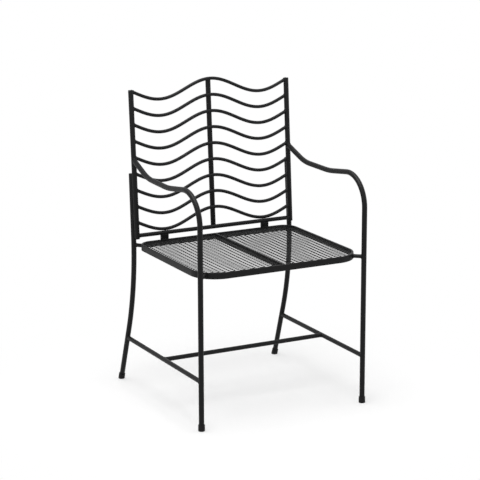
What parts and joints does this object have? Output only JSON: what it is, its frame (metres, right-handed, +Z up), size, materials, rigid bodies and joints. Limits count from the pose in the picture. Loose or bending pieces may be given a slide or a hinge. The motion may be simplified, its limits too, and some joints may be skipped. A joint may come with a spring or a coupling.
{
  "type": "garden armchair",
  "caption": "Black welded-steel garden armchair with a leaning back of waved rods, bent rod arms and legs, and a flat expanded-metal seat.",
  "frame": {"origin": "on the floor, in the middle of the four feet", "axes": "+Z up, the chair faces -Y, +X to the right of someone who looks at its front"},
  "size_m": [0.541, 0.5502, 0.9017],
  "materials": {
    "coated_rod": "satin",
    "coated_flat_bar": "satin",
    "coated_mesh": "satin",
    "glide_plastic": "matte"
  },
  "bodies": {
    "root": {"front_leg_arm_left": "coated_rod", "front_leg_arm_right": "coated_rod", "rear_leg_left": "coated_rod", "rear_leg_right": "coated_rod", "back_post_left": "coated_rod", "back_post_right": "coated_rod", "back_centre_post": "coated_rod", "back_bottom_rail": "coated_rod", "slat_1": "coated_rod", "slat_2": "coated_rod", "slat_3": "coated_rod", "slat_4": "coated_rod", "slat_5": "coated_rod", "slat_6": "coated_rod", "slat_7": "coated_rod", "slat_8": "coated_rod", "slat_9": "coated_rod", "seat_hoop": "coated_flat_bar", "seat_centre_bar": "coated_flat_bar", "seat_mesh_left": "coated_mesh", "seat_mesh_right": "coated_mesh", "seat_stub_front_left": "coated_rod", "seat_stub_front_right": "coated_rod", "seat_stub_rear_left": "coated_rod", "seat_stub_rear_right": "coated_rod", "back_spacer_left": "coated_flat_bar", "back_spacer_right": "coated_flat_bar", "side_stretcher_left": "coated_rod", "side_stretcher_right": "coated_rod", "cross_stretcher": "coated_rod", "foot_glide_front_left": "glide_plastic", "foot_glide_front_right": "glide_plastic", "foot_glide_rear_left": "glide_plastic", "foot_glide_rear_right": "glide_plastic"}
  },
  "joints": []
}
